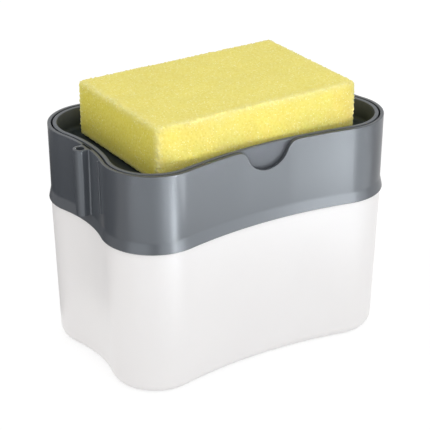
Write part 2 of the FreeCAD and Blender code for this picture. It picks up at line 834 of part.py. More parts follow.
pieces = [
    make_tank(),
    make_collar(),
    make_tray(),
    make_sponge(),
    make_pump_housing(),
    make_neck_gasket(),
    make_stem_guide(),
    make_closure_nut(),
    make_ball_cage(),
    make_dip_tube(),
    make_pump_stem(),
    make_piston(),
    make_valve_seat(),
    make_pump_head(),
    make_return_spring(),
    ball("inlet_ball", s.inlet_ball_radius, inlet_ball_level),
    ball("outlet_ball", s.outlet_ball_radius, outlet_ball_level),
]
doc.recompute()

# Nothing is written unless every feature and every piece is sound
for feature in doc.Objects:
    if "Invalid" in feature.State or "Error" in feature.State:
        raise RuntimeError(f"{feature.Label} failed: {feature.State}")
for piece in pieces:
    shape = piece.Shape
    if shape.isNull() or not shape.isValid() or len(shape.Solids) != 1:
        raise RuntimeError(f"{piece.Label} is not one valid solid")

os.makedirs("parts", exist_ok=True)
for piece in pieces:
    piece.Shape.exportStep(f"parts/{piece.Label}.step")
    print(piece.Label, round(piece.Shape.Volume))
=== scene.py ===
"""Looks of a soap pump caddy: frosted tank, grey collar, sponge tray, foam sponge and the pump inside.

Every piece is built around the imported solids, in metres, and rides on one of their bodies.
"""

import math

import bmesh
import bpy
from bpy.props import FloatProperty, FloatVectorProperty, PointerProperty
from mathutils import Matrix, Vector, noise


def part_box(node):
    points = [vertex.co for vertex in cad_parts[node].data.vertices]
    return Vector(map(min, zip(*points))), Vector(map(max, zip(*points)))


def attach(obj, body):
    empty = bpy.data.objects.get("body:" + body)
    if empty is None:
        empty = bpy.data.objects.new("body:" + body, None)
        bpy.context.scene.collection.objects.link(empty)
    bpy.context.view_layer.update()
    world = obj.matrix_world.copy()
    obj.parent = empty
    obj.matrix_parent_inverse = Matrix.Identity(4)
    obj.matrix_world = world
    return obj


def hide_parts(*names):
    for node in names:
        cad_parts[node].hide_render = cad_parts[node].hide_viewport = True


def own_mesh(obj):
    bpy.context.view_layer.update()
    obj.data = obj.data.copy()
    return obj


bl_info = {
    "name": "Soap Pump Caddy",
    "version": (1, 0, 0),
    "blender": (4, 5, 0),
    "location": "View3D > Sidebar > Caddy",
    "description": "Builds the pieces of a soap pump caddy around its packed solids",
    "category": "Add Mesh",
}

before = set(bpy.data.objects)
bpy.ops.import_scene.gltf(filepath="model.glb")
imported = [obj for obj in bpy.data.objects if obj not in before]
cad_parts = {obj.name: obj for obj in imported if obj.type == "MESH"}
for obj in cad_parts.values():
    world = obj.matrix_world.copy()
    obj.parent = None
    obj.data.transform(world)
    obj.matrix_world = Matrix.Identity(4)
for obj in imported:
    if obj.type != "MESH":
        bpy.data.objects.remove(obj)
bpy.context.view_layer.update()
BOXES = {name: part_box(name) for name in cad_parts}

MM = 0.001
UP = (0.0, 0.0, 1.0)
ORIGIN = (0.0, 0.0, 0.0)
MERGE = 1e-6
MIRROR_MERGE = 20 * MERGE
# Layers of a mesh: number of a swept point, torn border of the foam for its painted highlight, depth in the
# tray's dish for its painted shade
STATION = "station"
EDGE_HIGHLIGHT = "painted_edge_highlight"
DISH_SHADE = "painted_dish_shade"
SHARP_ANGLE = math.radians(40)
# Tints of the light: lamps and even surround
COOL = (0.87, 0.94, 1.0)
WARM = (1.0, 0.992, 0.98, 1.0)
WHITE = (1.0, 1.0, 1.0, 1.0)
# Soft lamp in front, and the narrow beam on the front of the sponge, which meets it this far over the rim
KEY_PLACE = (0.0, -0.75, 0.55)
KEY_AIM = (0.0, 0.0, 0.07)
KEY_SIZE = (0.5, 0.5)
BEAM_PLACE = (0.1, -0.62, 0.2)
BEAM_SIZE = (0.3, 0.02)
BEAM_SPREAD = math.radians(4)
BEAM_RISE = 6.0 * MM
# Lamps at the level of the skirt, which reflects them: name, place, size and share of their power
HORIZON = (
    ("front_horizon", (0.15, -0.6), (0.9, 0.16), 3.0),
    ("left_horizon", (-0.55, -0.3), (0.5, 0.16), 1.0),
    ("right_horizon", (0.6, -0.15), (0.4, 0.16), 0.6),
    ("left_upright", (0.079, -0.58), (0.03, 0.16), 1.15),
    ("right_upright", (0.204, -0.57), (0.03, 0.16), 0.5),
)
# Lamps on the floor that the collar's wall reflects, each a millimetre above the last, from this level on:
# name, place, azimuth, size and share of their power
FIRST_GLEAM_LEVEL = 4
GLEAMS = (
    ("left_strip", (-0.0085, -0.205), 14, (0.01, 0.07), 0.17),
    ("left_glow", (-0.04, -0.236), 5, (0.17, 0.1), 0.19),
    ("corner_glow", (-0.0235, -0.225), 5, (0.105, 0.1), 0.24),
    ("right_strip", (0.086, -0.247), 15, (0.01, 0.11), 0.27),
    ("front_panel", (0.15, -0.205), 0, (0.19, 0.19), 0.385),
    ("side_panel", (-0.185, -0.16), -40, (0.26, 0.12), 0.25),
)
# Half size of the floor, and its tone and glow where the camera sees it
FLOOR_REACH = 6.0
FLOOR_SHOWN = (0.35, 0.35, 0.35, 1.0)
FLOOR_GLOW = 0.72
# Dark card that keeps the collar's end deep
FLAG_PLACE = (-0.165, 0.175, 0.001)
FLAG_REACH = (0.135, 0.125, 1.0, 1.0)
FLAG_TONE = (0.02, 0.02, 0.02, 1.0)

# Steps of the outline's quarter: end, corner, side, shoulder of the notch, notch
OUTLINE_STEPS = (10, 26, 9, 14, 24)
TURNED_STEPS = 72
# Flat strip that keeps the rounding of a floor's edge clear of its filling
FLAT_STRIP = 4.0 * MM
RIM_STEPS = 4


def low(node):
    """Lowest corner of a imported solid."""
    return BOXES[node][0]


def high(node):
    """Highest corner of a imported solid."""
    return BOXES[node][1]


def from_screen(red, green, blue):
    """Linear colour of a screen colour given in 0 to 255."""
    levels = []
    for value in (red, green, blue):
        share = value / 255
        if share <= 0.04045:
            levels.append(share / 12.92)
        else:
            levels.append(((share + 0.055) / 1.055) ** 2.4)
    return tuple(levels)


def length(name, description, millimetres, least=0.0):
    """A length that a user may change."""
    return FloatProperty(
        name=name, description=description, default=millimetres * MM, min=least, precision=5, unit="LENGTH"
    )


def angle(name, description, degrees):
    """An angle that a user may change."""
    return FloatProperty(name=name, description=description, default=math.radians(degrees), unit="ROTATION")


def colour(name, description, screen):
    """A colour that a user may change."""
    linear = from_screen(*screen)
    return FloatVectorProperty(
        name=name, description=description, default=linear, min=0.0, max=1.0, size=3, subtype="COLOR"
    )


def lamp_power(name, description, watts):
    """Power of one lamp of the stage."""
    return FloatProperty(name=name, description=description, default=watts, min=0.0, unit="POWER")


class CaddySizes(bpy.types.PropertyGroup):
    """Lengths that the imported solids' boxes don't give."""

    corner_radius: length("Corner radius", "Round corners of the plan", 23.6)
    end_waist_depth: length("End waist", "How far the short ends draw in", 3.4)
    side_waist_depth: length("Side waist", "How far the long sides draw in", 5.2)
    tank_wall: length("Tank wall", "Wall of the tank", 1.8)
    tank_floor: length("Tank floor", "Floor of the tank", 2.2)
    tank_top_inset: length("Tank top inset", "How far the tank's top stands in from the rim", 0.4)
    tank_foot_inset: length("Tank foot inset", "How far the tank's foot stands in from the rim", 2.7)
    tank_foot_radius: length("Tank foot radius", "Rounding of the tank's foot", 4.7)
    base_rim: length("Base rim", "Flat rim under the tank", 7.0)
    base_recess: length("Base recess", "Depth of the hollow under the tank", 0.8)
    collar_wall: length("Collar wall", "Wall of the collar", 1.65)
    collar_draft: length("Collar draft", "How far the collar leans out towards its rim", 0.5)
    skirt_band: length("Skirt band", "Height of the flared band over the tank", 5.2)
    skirt_flare: length("Skirt flare", "How far the band stands out at its foot", 0.6)
    ledge: length("Ledge", "Thickness of the step that rests on the tank", 2.0)
    plug_wall: length("Plug wall", "Wall of the part that goes into the tank", 1.6)
    plug_gap: length("Plug gap", "Room between plug and tank", 0.35)
    deck: length("Deck", "Thickness of the floor that carries the pump", 2.0)
    notch_radius: length("Notch radius", "Finger notch in the rim", 11.4)
    notch_rounding: length("Notch rounding", "Shoulders of the finger notch", 6.2)
    barrel_radius: length("Barrel radius", "Socket barrel on the end", 3.3)
    barrel_bore: length("Barrel bore", "Radius of the socket's hole", 1.9)
    barrel_blend: length("Barrel blend", "Hollow rounding beside the barrel", 1.0)
    barrel_draft: length("Barrel draft", "How far the barrel's nose draws in at its foot", 0.6)
    upright_offset: length("Upright offset", "Distance of the upright ridge from the barrel", 15.0)
    upright_rise: length("Upright rise", "Height of the ridge's foot over the band", 5.5)
    upright_width: length("Upright width", "Width of the ridge", 1.6)
    upright_height: length("Upright height", "How far the ridge stands out", 0.8)
    rim_rounding: length("Rim rounding", "Edges of collar and tray rims", 0.32)
    tray_gap: length("Tray gap", "Room between tray and collar", 0.8)
    tray_wall: length("Tray wall", "Wall of the tray", 1.85)
    tray_draft: length("Tray draft", "Lean of the dish wall", 0.4)
    tray_depth: length("Tray depth", "Depth of the dish", 10.0)
    tray_floor: length("Tray floor", "Floor of the dish", 1.6)
    rest_rib_height: length("Rest rib height", "Ribs that carry the sponge", 0.8)
    rest_rib_width: length("Rest rib width", "Ribs that carry the sponge", 1.4)
    rest_rib_pitch: length("Rest rib pitch", "Distance between the ribs", 9.0)
    neck_radius: length("Neck radius", "Threaded neck of the deck", 12.0)
    neck_bore: length("Neck bore", "Hole through the neck", 8.7)
    neck_top: length("Neck top", "Level of the neck's top", 71.2)
    sponge_rounding: length("Sponge edge", "Rounding of the sponge's cut edges", 1.5)
    sponge_grid: length("Sponge grid", "Mesh step of the foam surface", 0.5)
    pore_size: length("Pore size", "Spacing of the foam's open cells", 1.3)
    pore_depth: length("Pore depth", "Depth of the foam's open cells", 0.3)
    strut_height: length("Strut height", "How far the cut cell walls stand out", 0.5)
    frayed_edge: length("Frayed edge", "Width of the pale torn border of each face", 4.5)
    glint_spacing: length("Glint spacing", "Distance between the glinting cell walls", 0.75)


class CaddyColours(bpy.types.PropertyGroup):
    """Colours of the finishes."""

    grey_plastic: colour("Grey plastic", "Collar", (74, 78, 84))
    # Painted highlight: a paler copy of the collar's grey for the light that the tray's rim catches; the
    # skirt takes it too
    tray_rim_painted_highlight: colour("Tray", "Rim and skirt of the tray", (96, 100, 106))
    # Painted shade: the dish's floor, ribs and the foot of its wall take this darker grey for the shade
    # down in the dish
    tray_dish: colour("Tray dish", "Floor of the tray", (48, 55, 55))
    frosted_tank: colour("Frosted tank", "Milky wall of the tank", (242, 240, 240))
    foam: colour("Foam", "Body of the sponge", (239, 226, 123))
    # Painted shade: the bottoms of the open cells are laid in this deeper yellow
    foam_pore_painted_shade: colour("Foam pores", "Bottom of the open cells", (235, 219, 105))
    # Painted highlight: the colour of the glints laid on cell walls where they catch the light
    foam_painted_glint: colour("Foam glints", "Cell walls that catch the light", (255, 250, 190))
    # Painted highlight: this pale colour stands in for the light caught along the foam's fuzzy torn edges
    foam_edge_highlight: colour("Foam edge", "Painted highlight on the torn border of the faces", (247, 240, 182))
    # Painted shade: multiplied over the foam on both cut ends, deepening them to a less blue yellow
    end_painted_shade: colour("End tint", "Laid over the foam on the cut ends of the sponge", (248, 248, 206))
    pump_plastic: colour("Pump plastic", "Housing, guide, stem and cage", (226, 228, 230))
    nut_plastic: colour("Nut plastic", "Closure nut", (206, 209, 213))
    head_plastic: colour("Head plastic", "Pump head", (92, 95, 101))
    gasket_rubber: colour("Gasket rubber", "Neck gasket", (52, 53, 56))
    tube_plastic: colour("Tube plastic", "Dip tube", (228, 230, 228))
    piston_plastic: colour("Piston plastic", "Piston", (120, 150, 176))
    steel: colour("Steel", "Return spring and valve balls", (196, 198, 202))
    floor: colour("Floor", "Studio floor", (248, 248, 248))


class CaddyStage(bpy.types.PropertyGroup):
    """Lamps and lens of the stage."""

    key_power: lamp_power("Key lamp", "Soft lamp in front", 0.8)
    beam_power: lamp_power("Sponge lamp", "Narrow beam on the front of the sponge", 0.0098)
    horizon_power: lamp_power("Horizon lamps", "Low lamps that the collar's skirt reflects", 1.0)
    gleam_power: lamp_power("Gleam lamps", "Lamps on the floor that the collar's wall reflects", 1.0)
    surround: FloatProperty(name="Surround", description="Even light from all sides", default=0.89, min=0.0)
    lens: FloatProperty(name="Lens", description="Focal length", default=140.84, min=1.0, unit="CAMERA")
    azimuth: angle("Azimuth", "Camera azimuth", -32.657)
    elevation: angle("Elevation", "Camera elevation", 25.276)
    distance: length("Distance", "Camera distance", 824.87)
    aim_right: length("Aim right", "Aim point, right", -0.79, least=-1.0)
    aim_up: length("Aim up", "Aim point, up", 52.73)


# Mesh helpers
def face_out(bm):
    """Turn all faces outwards."""
    bmesh.ops.recalc_face_normals(bm, faces=bm.faces)


def verts_of(edges):
    """The vertices of edges, each once."""
    return {vert for edge in edges for vert in edge.verts}


def finish_piece(name, bm, material, smooth_angle=SHARP_ANGLE, weighted=True):
    """Turn a bmesh into a smooth-shaded object at the origin."""
    bmesh.ops.remove_doubles(bm, verts=bm.verts, dist=MERGE)
    face_out(bm)
    if STATION in bm.verts.layers.int:
        bm.verts.layers.int.remove(bm.verts.layers.int[STATION])
    mesh = bpy.data.meshes.new(name)
    bm.to_mesh(mesh)
    bm.free()
    mesh.materials.append(material)
    mesh.shade_smooth()
    mesh.set_sharp_from_angle(angle=smooth_angle)
    piece = bpy.data.objects.new(name, mesh)
    bpy.context.scene.collection.objects.link(piece)
    if weighted:
        normals = piece.modifiers.new("even_shading", "WEIGHTED_NORMAL")
        normals.keep_sharp = True
    return piece


def place(piece, body, slot, *nodes):
    """Ride a piece on its body and hide the solids that it stands for; the slot is not used."""
    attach(piece, body)
    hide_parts(*nodes)


def round_edges(bm, edges, radius, segments=RIM_STEPS):
    """Round edges with an even bevel."""
    bmesh.ops.bevel(
        bm, geom=edges, offset=radius, offset_type="OFFSET", affect="EDGES", segments=segments, profile=0.5,
        material=-1, clamp_overlap=True,
    )


def spun(bm, geom, centre, turn, steps, rise=0.0, merge=False):
    """Carry geometry round an upright axis, rising at each step, and give its last copy."""
    return bmesh.ops.spin(
        bm, geom=geom, cent=centre, axis=UP, dvec=(0.0, 0.0, rise), angle=turn, steps=steps, use_merge=merge
    )["geom_last"]


def mirrored(bm, edges, axis):
    """Mirror edges over the origin and give the old and new ones."""
    before = set(bm.edges)
    bmesh.ops.mirror(bm, geom=list(verts_of(edges)) + edges, axis=axis, merge_dist=MIRROR_MERGE)
    return edges + [edge for edge in bm.edges if edge not in before]


def profile_chain(bm, points):
    """Draw a chain of (x, level) points, numbered so that the rings they sweep can be found again."""
    layer = bm.verts.layers.int.get(STATION) or bm.verts.layers.int.new(STATION)
    first = 1 + max((vert[layer] for vert in bm.verts), default=0)
    numbers = range(first, first + len(points))
    verts = [bm.verts.new((x, 0.0, level)) for x, level in points]
    for vert, number in zip(verts, numbers):
        vert[layer] = number
    edges = [bm.edges.new(pair) for pair in zip(verts, verts[1:])]
    return verts + edges, numbers


def ring_edges(bm, number):
    """The ring of edges that one numbered point has swept."""
    layer = bm.verts.layers.int[STATION]
    return [edge for edge in bm.edges if edge.verts[0][layer] == number == edge.verts[1][layer]]


def waist_radius(reach, corner_radius, depth):
    """Radius of the hollow arc that draws a side in by depth between two corners."""
    return (reach**2 + depth**2) / (2 * depth) - corner_radius


def notch_shoulder(sizes):
    """Where the notch's shoulder leaves the rim, and where it meets the notch's circle."""
    span = sizes.notch_radius + sizes.notch_rounding
    start = math.sqrt(span**2 - sizes.notch_rounding**2)
    return start, start * sizes.notch_radius / span


def notch_drop(sizes, x):
    """How far the rim lies below its level at x from the middle of a long side."""
    start, meet = notch_shoulder(sizes)
    x = abs(x)
    if x >= start:
        return 0.0
    if x > meet:
        return sizes.notch_rounding - math.sqrt(sizes.notch_rounding**2 - (x - start) ** 2)
    return math.sqrt(sizes.notch_radius**2 - x**2)


class Outline:
    """The waisted plan that tank, collar and tray share, as arcs that sweep one quarter of it."""

    def __init__(self, sizes):
        half_length = high("collar").x - sizes.skirt_flare
        half_width = high("collar").y - sizes.skirt_flare
        radius = sizes.corner_radius
        corner = Vector((half_length - radius, half_width - radius))
        self.end_waist = half_length - sizes.end_waist_depth
        self.side_waist = half_width - sizes.side_waist_depth
        end_radius = waist_radius(corner.y, radius, sizes.end_waist_depth)
        side_radius = waist_radius(corner.x, radius, sizes.side_waist_depth)
        end = Vector((self.end_waist + end_radius, 0.0))
        side = Vector((0.0, self.side_waist + side_radius))
        from_end = math.atan2(corner.y - end.y, corner.x - end.x)
        at_end = math.atan2(end.y - corner.y, end.x - corner.x)
        at_side = math.atan2(side.y - corner.y, side.x - corner.x)
        marks = [math.atan2(corner.y - side.y, corner.x - side.x)]
        marks += [-math.acos(x / side_radius) for x in (*notch_shoulder(sizes), 0.0)]
        turns = [from_end - math.pi, at_side - at_end]
        turns += [after - before for before, after in zip(marks, marks[1:])]
        self.arcs = list(zip((end, corner, side, side, side), turns, OUTLINE_STEPS))

    def reach_at(self, across):
        """How far the rim's end lies from the middle, at a distance across from the end's own middle."""
        centre = self.arcs[0][0]
        return centre.x - math.sqrt((centre.x - self.end_waist) ** 2 - across**2)

    def shell(self, bm, stations):
        """Sweep a profile of (inset, level) points round the outline and give its rings.

        It comes first in its mesh, because all that is there is mirrored.
        """
        geom, numbers = profile_chain(bm, [(self.end_waist - inset, level) for inset, level in stations])
        for centre, turn, steps in self.arcs:
            geom = spun(bm, geom, (*centre, 0.0), turn, steps)
        if max(abs(item.co.x) for item in geom if isinstance(item, bmesh.types.BMVert)) > 0.01 * MM:
            raise RuntimeError("the outline's quarter doesn't end at the middle of the side")
        for axis in ("X", "Y"):
            swept = bm.verts[:] + bm.edges[:] + bm.faces[:]
            bmesh.ops.mirror(bm, geom=swept, axis=axis, merge_dist=MIRROR_MERGE)
        return [ring_edges(bm, number) for number in numbers]


def turned_shell(bm, profile, steps=TURNED_STEPS, centre=ORIGIN):
    """Spin an open profile of (radius, level) points round a centre and give its rings."""
    chain, numbers = profile_chain(bm, [(centre[0] + radius, level) for radius, level in profile])
    spun(bm, chain, centre, math.tau, steps, merge=True)
    return [ring_edges(bm, number) for number in numbers]


def cap(bm, ring):
    """Close a ring with one face."""
    bmesh.ops.edgeloop_fill(bm, edges=ring)


def fill_between(bm, ring, hole):
    """Fill the flat floor between an outline and the hole in it."""
    bmesh.ops.triangle_fill(bm, edges=ring + hole, use_beauty=True, use_dissolve=False)


def cut_notches(sizes, ring):
    """Lower a rim ring along the finger notches of both long sides."""
    for vert in verts_of(ring):
        vert.co.z -= notch_drop(sizes, vert.co.x)


def add_bar(bm, centre, size, rounding):
    """Add a bar with rounded edges."""
    matrix = Matrix.Translation(centre) @ Matrix.Diagonal((*size, 1.0))
    verts = bmesh.ops.create_cube(bm, size=1.0, matrix=matrix)["verts"]
    edges = list({edge for vert in verts for edge in vert.link_edges})
    round_edges(bm, edges, rounding, 2)


def turned_mesh(profile, rounding, steps=TURNED_STEPS):
    """Spin a closed profile of (radius, level) points, in millimetres, and round its edges."""
    bm = bmesh.new()
    points = [bm.verts.new((radius * MM, 0.0, level * MM)) for radius, level in profile]
    edges = [bm.edges.new(pair) for pair in zip(points, points[1:] + points[:1])]
    spun(bm, points + edges, ORIGIN, math.tau, steps, merge=True)
    bmesh.ops.remove_doubles(bm, verts=bm.verts, dist=MERGE)
    face_out(bm)
    sharp = [edge for edge in bm.edges if edge.calc_face_angle(0.0) > SHARP_ANGLE / 2]
    round_edges(bm, sharp, rounding * MM, 2)
    return bm


# Materials
def fill_sockets(tree, node, values):
    """Give sockets of a node their values, or a link where the value is another node's socket."""
    for key, value in values.items():
        if isinstance(value, bpy.types.NodeSocket):
            tree.links.new(value, node.inputs[key])
        else:
            node.inputs[key].default_value = value


def add_node(tree, kind, settings=None, values=None):
    """Add a shader node with its settings and the values of its sockets."""
    made = tree.nodes.new("ShaderNode" + kind)
    for key, value in (settings or {}).items():
        setattr(made, key, value)
    fill_sockets(tree, made, values or {})
    return made


def calculated(tree, operation, *values, clamp=False):
    """Work out a value from numbers and sockets."""
    settings = {"operation": operation, "use_clamp": clamp}
    return add_node(tree, "Math", settings, dict(enumerate(values))).outputs[0]


def ranged(tree, source, start, stop, first=0.0, last=1.0):
    """Spread a value from one range over another."""
    values = {"Value": source, "From Min": start, "From Max": stop, "To Min": first, "To Max": last}
    return add_node(tree, "MapRange", values=values).outputs["Result"]


def blended(tree, below, above, share, mode="MIX"):
    """Lay a colour over another, or over a socket, by a varying share."""
    if not isinstance(below, bpy.types.NodeSocket):
        below = (*below, 1.0)
    settings = {"data_type": "RGBA", "blend_type": mode}
    values = {"A": below, "B": (*above, 1.0), "Factor": share}
    return add_node(tree, "Mix", settings, values).outputs["Result"]


def attribute(tree, name):
    """Value of a layer of the piece's own mesh."""
    return add_node(tree, "Attribute", {"attribute_name": name}).outputs["Fac"]


def moulded_group():
    """Finish of moulded plastic: faint patches of shade, uneven polish and a fine skin."""
    if "moulded_finish" in bpy.data.node_groups:
        return bpy.data.node_groups["moulded_finish"]
    group = bpy.data.node_groups.new("moulded_finish", "ShaderNodeTree")
    sockets = group.interface
    sockets.new_socket("Colour", in_out="INPUT", socket_type="NodeSocketColor")
    plain = {"Shade Spread": 0.05, "Roughness": 0.35, "Polish Spread": 0.1, "Patch Scale": 40.0}
    for name, value in {**plain, "Skin Scale": 2500.0}.items():
        sockets.new_socket(name, in_out="INPUT", socket_type="NodeSocketFloat").default_value = value
    for name, kind in (("Colour", "Color"), ("Roughness", "Float"), ("Height", "Float")):
        sockets.new_socket(name, in_out="OUTPUT", socket_type="NodeSocket" + kind)
    given = group.nodes.new("NodeGroupInput").outputs
    result = group.nodes.new("NodeGroupOutput")
    place_on = add_node(group, "TexCoord").outputs["Object"]
    patches = add_node(group, "TexNoise", values={
        "Vector": place_on, "Scale": given["Patch Scale"], "Detail": 3.0, "Roughness": 0.55,
    })
    centred = calculated(group, "SUBTRACT", patches.outputs["Fac"], 0.5)
    shade = calculated(group, "MULTIPLY_ADD", centred, given["Shade Spread"], 1.0)
    tone = add_node(group, "HueSaturation", values={"Color": given["Colour"], "Value": shade})
    polish = calculated(
        group, "MULTIPLY_ADD", centred, given["Polish Spread"], given["Roughness"], clamp=True
    )
    skin = add_node(group, "TexNoise", values={
        "Vector": place_on, "Scale": given["Skin Scale"], "Detail": 2.0,
    })
    fill_sockets(group, result, {
        "Colour": tone.outputs["Color"], "Roughness": polish, "Height": skin.outputs["Fac"],
    })
    return group


def new_material(name):
    """Start a material and give it with its tree and its shader."""
    material = bpy.data.materials.new(name)
    material.use_nodes = True
    tree = material.node_tree
    return material, tree, tree.nodes["Principled BSDF"]


def moulded_material(name, tint, finish, skin_depth, shader_values):
    """Moulded plastic, rubber or metal with its own colour and polish."""
    if name in bpy.data.materials:
        return bpy.data.materials[name]
    material, tree, shader = new_material(name)
    inputs = {**finish, "Colour": (*tint, 1.0)}
    group = add_node(tree, "Group", {"node_tree": moulded_group()}, inputs)
    bump = add_node(tree, "Bump", values={
        "Strength": 0.25, "Distance": skin_depth, "Height": group.outputs["Height"],
    })
    fill_sockets(tree, shader, {
        "Base Color": group.outputs["Colour"],
        "Roughness": group.outputs["Roughness"],
        "Normal": bump.outputs["Normal"],
        **shader_values,
    })
    return material


def grey_plastic(colours):
    """Glossy dark grey of the collar."""
    finish = {"Shade Spread": 0.05, "Roughness": 0.3, "Polish Spread": 0.03, "Patch Scale": 35.0}
    return moulded_material("glossy_grey", colours.grey_plastic, finish, 0.01 * MM, {"IOR": 1.46})


def tray_plastic(colours):
    """Grey of the tray, with a dull gloss: paler on the rim and skirt as painted highlight, and darkened
    down in the dish by painted shade.
    """
    finish = {"Shade Spread": 0.05, "Roughness": 0.35, "Polish Spread": 0.03, "Patch Scale": 35.0}
    values = {"IOR": 1.46, "Specular IOR Level": 0.2}
    material = moulded_material("tray_grey_painted_shade_and_highlight", colours.tray_dish, finish, 0.01 * MM, values)
    tree = material.node_tree
    group = next(node for node in tree.nodes if node.type == "GROUP")
    # Painted shade and highlight: the dark dish tone where the mesh marks the dish, the paler rim tone
    # elsewhere
    tone = blended(tree, colours.tray_rim_painted_highlight, colours.tray_dish, attribute(tree, DISH_SHADE))
    fill_sockets(tree, group, {"Colour": tone})
    return material


def frosted_plastic(colours):
    """Milky frosted wall of the tank."""
    finish = {"Shade Spread": 0.03, "Roughness": 0.4, "Polish Spread": 0.1, "Skin Scale": 3200.0}
    values = {
        "IOR": 1.42,
        "Subsurface Weight": 0.3,
        "Subsurface Radius": (1.0, 0.97, 0.94),
        "Subsurface Scale": 1.0 * MM,
    }
    return moulded_material("milky_frost", colours.frosted_tank, finish, 0.05 * MM, values)


def pump_finish(name, tint, roughness, shader_values=None):
    """Finish of one piece of the pump."""
    finish = {"Shade Spread": 0.08, "Roughness": roughness, "Polish Spread": 0.12, "Patch Scale": 160.0}
    return moulded_material(name, tint, finish, 0.02 * MM, shader_values or {})


def painted_shade_ends(tree, place_on):
    """Mask of the sponge's two cut ends, which take the painted shade."""
    axes = add_node(tree, "SeparateXYZ", values={"Vector": place_on})
    middle = (low("sponge").x + high("sponge").x) / 2
    end = high("sponge").x - middle
    aside = calculated(tree, "ABSOLUTE", calculated(tree, "SUBTRACT", axes.outputs["X"], middle))
    return ranged(tree, aside, end - 1.2 * MM, end - 0.4 * MM)


def foam_material(colours, sizes):
    """Open-celled yellow foam, with painted shade in the cells and on the cut ends, painted glints on the
    cell walls and a painted highlight along the torn edges.
    """
    material, tree, shader = new_material("yellow_foam")
    place_on = add_node(tree, "TexCoord").outputs["Object"]
    cells, glints = (
        add_node(tree, "TexVoronoi", values={"Vector": place_on, "Scale": 1.0 / spacing})
        for spacing in (sizes.pore_size, sizes.glint_spacing)
    )
    drift = add_node(tree, "TexNoise", values={
        "Vector": place_on, "Scale": 60.0, "Detail": 4.0, "Roughness": 0.6,
    })
    # Painted shade in the cells: their bottoms take the deeper pore colour; the same mask also raises the
    # bump
    walls = ranged(tree, cells.outputs["Distance"], 0.15, 0.6)
    tone = blended(tree, colours.foam_pore_painted_shade, colours.foam, walls)
    # Painted shade: the cut ends deepen to a less blue yellow
    tone = blended(tree, tone, colours.end_painted_shade, painted_shade_ends(tree, place_on), "MULTIPLY")
    # Painted highlight: a pale border laid along the torn edges
    tone = blended(tree, tone, colours.foam_edge_highlight, attribute(tree, EDGE_HIGHLIGHT))
    # Painted glints: bright specks laid into the foam's colour where cell walls catch the light; they are
    # glossier too
    pick = add_node(tree, "SeparateColor", values={"Color": glints.outputs["Color"]})
    picked = ranged(tree, pick.outputs["Red"], 0.62, 0.9)
    near = ranged(tree, glints.outputs["Distance"], 0.2, 0.45, 1.0, 0.0)
    spot = calculated(tree, "MULTIPLY", picked, near)
    tone = blended(tree, tone, colours.foam_painted_glint, spot)
    drifting = ranged(tree, drift.outputs["Fac"], 0.3, 0.7, 0.97, 1.03)
    shade = add_node(tree, "HueSaturation", values={"Color": tone, "Value": drifting})
    bump = add_node(tree, "Bump", values={"Strength": 0.2, "Distance": 0.25 * MM, "Height": walls})
    fill_sockets(tree, shader, {
        "Base Color": shade.outputs["Color"],
        "Roughness": ranged(tree, spot, 0.0, 1.0, 0.9, 0.45),
        "Normal": bump.outputs["Normal"],
        "IOR": 1.25,
        "Specular IOR Level": 0.15,
        "Sheen Weight": 0.1,
        "Sheen Roughness": 0.5,
        "Subsurface Weight": 0.35,
        "Subsurface Radius": (1.0, 0.85, 0.3),
        "Subsurface Scale": 2.5 * MM,
    })
    return material


# Pieces
class CADDY_OT_tank(bpy.types.Operator):
    """Build the frosted tank: leaning waisted walls, a rounded foot and a hollow underneath"""

    bl_idname = "caddy.tank"
    bl_label = "Tank"

    def execute(self, context):
        sizes = context.scene.caddy_sizes
        plan = Outline(sizes)
        top = high("tank").z
        foot = sizes.tank_foot_inset
        lip = sizes.tank_top_inset
        recess = foot + sizes.tank_foot_radius + sizes.base_rim
        bm = bmesh.new()
        stations = [
            (recess, sizes.base_recess),
            (recess, 0.0),
            (foot, 0.0),
            (lip, top),
            (lip + sizes.tank_wall, top),
            (foot + sizes.tank_wall, sizes.tank_floor),
        ]
        rings = plan.shell(bm, stations)
        cap(bm, rings[0])
        cap(bm, rings[-1])
        face_out(bm)
        round_edges(bm, rings[2], sizes.tank_foot_radius, 7)
        round_edges(bm, rings[5], sizes.tank_foot_radius - sizes.tank_wall, 5)
        round_edges(bm, rings[0] + rings[1], sizes.base_recess / 3, 2)
        round_edges(bm, rings[3] + rings[4], sizes.rim_rounding, 3)
        tank = finish_piece("tank_shell", bm, frosted_plastic(context.scene.caddy_colours))
        place(tank, "tank", "frosted_tank", "tank")
        return {"FINISHED"}


